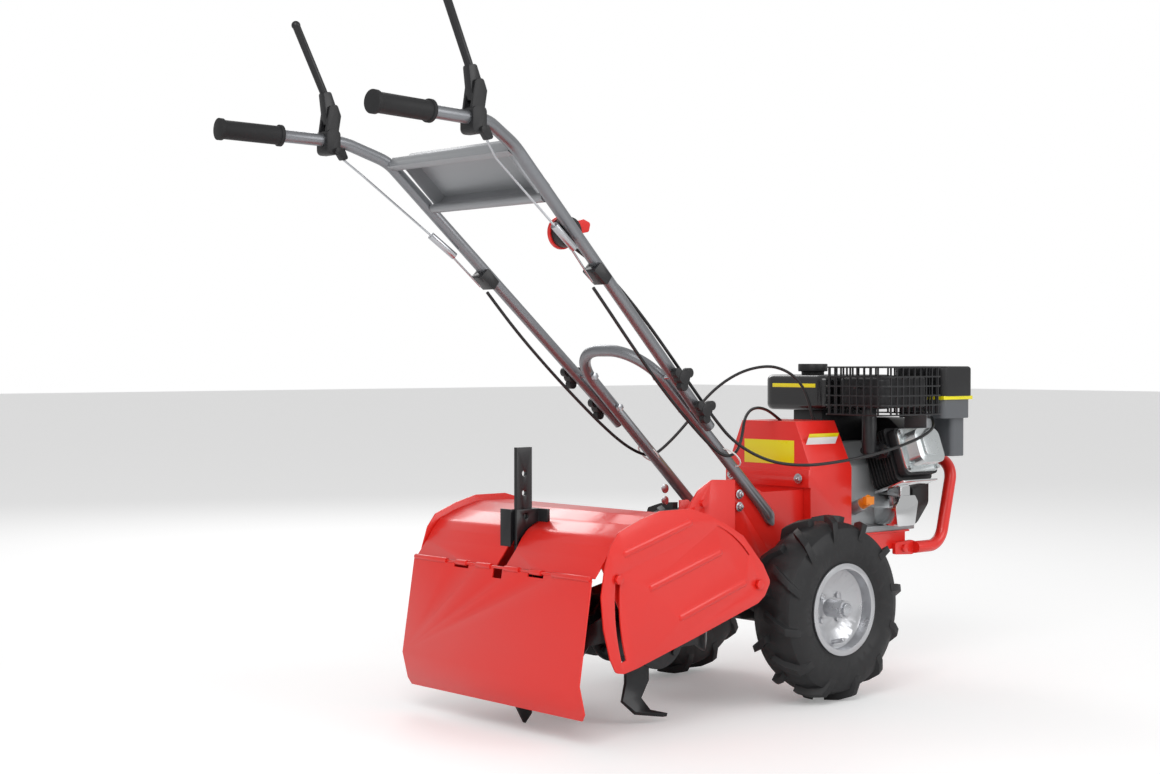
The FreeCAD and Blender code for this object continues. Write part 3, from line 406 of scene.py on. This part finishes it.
class TILLER_OT_cables(bpy.types.Operator):
    """The two clutch cables and the throttle cable"""
    bl_idname = "tiller.cables"
    bl_label = "Cables"

    def execute(self, context):
        diameter = context.scene.tiller_sizes.cable
        for name, route, length in (("clutch_cable_left", FAR_CABLE, 0.9986),
                                    ("clutch_cable_right", NEAR_CABLE, 0.8247),
                                    ("throttle_cable", THROTTLE_CABLE, 1.1509)):
            data = bpy.data.curves.new("run_" + name, "CURVE")
            data.dimensions = "3D"
            data.bevel_depth = diameter / 2
            data.bevel_resolution = 4
            data.resolution_u = 10
            data.use_fill_caps = True
            spline = data.splines.new("NURBS")
            spline.points.add(len(route) - 1)
            for point, place in zip(spline.points, route):
                point.co = (*at(*place), 1.0)
            spline.order_u = 3
            spline.use_endpoint_u = True
            obj = bpy.data.objects.new("run_" + name, data)
            context.scene.collection.objects.link(obj)
            data.materials.append(materials()["cable_black"])
            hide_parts(name)
            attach(obj, "chassis")
        return {"FINISHED"}


class TILLER_OT_plates(bpy.types.Operator):
    """Blank plates and colour stripes"""
    bl_idname = "tiller.plates"
    bl_label = "Blank plates"

    def execute(self, context):
        def film(name, slot, low, high, tilt=0.0, pivot=None):
            obj = block(at(*low), at(*high))
            if tilt:
                obj.matrix_world = (Matrix.Translation(pivot) @ Matrix.Rotation(tilt, 4, "X")
                                    @ Matrix.Translation(-pivot) @ obj.matrix_world)
            settle(obj, name, "red_paint", "chassis", materials()[slot], edge=EDGE_FILM)
        film("rear_plate_yellow", "plate_yellow", (59.3, -70, 444), (60.1, 66, 492))
        lean = math.atan2(41, 94)
        pivot = at(114, -92.6, 485)
        film("side_plate_white", "plate_white", (70, -93.2, 464), (158, -92.4, 500), lean, pivot)
        film("side_plate_band", "plate_yellow", (70, -93.4, 500), (158, -92.4, 508), lean, pivot)
        film("filter_stripe", "plate_yellow", (384, -190.5, 571), (481, -63, 578.5))
        film("tank_stripe", "plate_yellow", (199.4, -2, 596), (200.3, 118, 604))
        return {"FINISHED"}


class TILLER_OT_fasteners(bpy.types.Operator):
    """Bolts on the belt cover and the side plates, and the cable ties"""
    bl_idname = "tiller.fasteners"
    bl_label = "Fasteners"

    def execute(self, context):
        for k, place in enumerate(COVER_BOLTS):
            bolt(at(*place), Vector((-1, 0, 0)), 0.007, "cover_bolt_%d" % k)
        for k, (x, z) in enumerate(PLATE_BOLTS):
            for letter, s in (("l", 1), ("r", -1)):
                bolt(at(x, s * PLATE_BOLT_Y, z), Vector((0, s, 0)), 0.0065, "plate_bolt_%d_%s" % (k, letter))
        for side, s in (("left", 1), ("right", -1)):
            clear_selection()
            bpy.ops.mesh.primitive_torus_add(major_segments=36, minor_segments=8, major_radius=0.0235,
                                             minor_radius=0.0016, location=at(TIE_X, s * TIE_Y, TIE_Z),
                                             rotation=(0, DEG(TIE_LEAN), 0))
            settle(bpy.context.object, "cable_tie_" + side, "cable_black", "chassis",
                   materials()["tie_white"])
        return {"FINISHED"}


class TILLER_OT_stage(bpy.types.Operator):
    """Floor, soft lights and camera"""
    bl_idname = "tiller.stage"
    bl_label = "Stage"

    def execute(self, context):
        scene = context.scene
        clear_selection()
        bpy.ops.mesh.primitive_plane_add(size=FLOOR_SIZE, location=(0, 0, 0))
        floor = bpy.context.object
        floor.name = "stage_floor"
        mat = bpy.data.materials.new("pale_floor")
        mat.use_nodes = True
        tree = mat.node_tree
        shader = tree.nodes["Principled BSDF"]
        shader.inputs["Base Color"].default_value = linear("#F4F4F4")
        shader.inputs["Roughness"].default_value = 0.7
        output = tree.nodes["Material Output"]
        path = add_node(tree, "ShaderNodeLightPath")
        glow = add_node(tree, "ShaderNodeEmission", None, {"Color": (1, 1, 1, 1), "Strength": FLOOR_GLOW})
        both = add_node(tree, "ShaderNodeAddShader", None,
                        {0: shader.outputs["BSDF"], 1: glow.outputs["Emission"]})
        mix = add_node(tree, "ShaderNodeMixShader", None,
                       {0: path.outputs["Is Camera Ray"], 1: shader.outputs["BSDF"], 2: both.outputs[0]})
        tree.links.new(mix.outputs[0], output.inputs["Surface"])
        floor.data.materials.append(mat)
        world = bpy.data.worlds.new("studio")
        scene.world = world
        world.use_nodes = True
        wt = world.node_tree
        back = wt.nodes["Background"]
        back.inputs["Color"].default_value = (1, 1, 1, 1)
        wpath = add_node(wt, "ShaderNodeLightPath")
        seen = add_node(wt, "ShaderNodeMath", {"operation": "MAXIMUM"},
                        {0: wpath.outputs["Is Camera Ray"], 1: wpath.outputs["Is Transmission Ray"]})
        amount = add_node(wt, "ShaderNodeMapRange", None,
                          {"Value": seen.outputs[0], "To Min": STUDIO_LIGHT, "To Max": 1.0})
        wt.links.new(amount.outputs["Result"], back.inputs["Strength"])
        for name, place, size, power in LAMPS:
            lamp = bpy.data.lights.new(name, "AREA")
            lamp.energy = power
            lamp.size = size
            obj = bpy.data.objects.new("stage_" + name, lamp)
            scene.collection.objects.link(obj)
            obj.location = place
            aim = LAMP_AIM - Vector(place)
            obj.rotation_euler = aim.to_track_quat("-Z", "Y").to_euler()
        camera = bpy.data.cameras.new("camera")
        camera.lens = CAMERA_LENS
        camera.sensor_width = CAMERA_SENSOR
        camera.clip_end = 100
        obj = bpy.data.objects.new("camera", camera)
        scene.collection.objects.link(obj)
        obj.location = at(*CAMERA_PLACE)
        obj.rotation_euler = [DEG(a) for a in CAMERA_TURN]
        scene.camera = obj
        scene.view_settings.view_transform = "Standard"
        return {"FINISHED"}


class TILLER_PT_panel(bpy.types.Panel):
    """Lists the tiller's pieces"""
    bl_idname = "TILLER_PT_panel"
    bl_label = "Garden tiller"
    bl_space_type = "VIEW_3D"
    bl_region_type = "UI"
    bl_category = "Tiller"

    def draw(self, context):
        for prop in ("paint", "tube", "plate"):
            self.layout.prop(context.scene.tiller_colours, prop)
        for prop in ("edge", "cable"):
            self.layout.prop(context.scene.tiller_sizes, prop)
        for step in STEPS:
            self.layout.operator("tiller." + step)


STEPS = ("stage", "cables", "wheels", "tines", "frame", "handles", "engine", "plates", "fasteners")
CLASSES = (TillerColours, TillerSizes, TILLER_OT_stage, TILLER_OT_cables, TILLER_OT_wheels, TILLER_OT_tines,
           TILLER_OT_frame, TILLER_OT_handles, TILLER_OT_engine, TILLER_OT_plates, TILLER_OT_fasteners,
           TILLER_PT_panel)


def register():
    for c in CLASSES:
        bpy.utils.register_class(c)
    bpy.types.Scene.tiller_colours = bpy.props.PointerProperty(type=TillerColours)
    bpy.types.Scene.tiller_sizes = bpy.props.PointerProperty(type=TillerSizes)


def unregister():
    del bpy.types.Scene.tiller_sizes
    del bpy.types.Scene.tiller_colours
    for c in reversed(CLASSES):
        bpy.utils.unregister_class(c)


def main():
    register()
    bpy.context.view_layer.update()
    for step in STEPS:
        getattr(bpy.ops.tiller, step)()


if __name__ == "__main__":
    main()
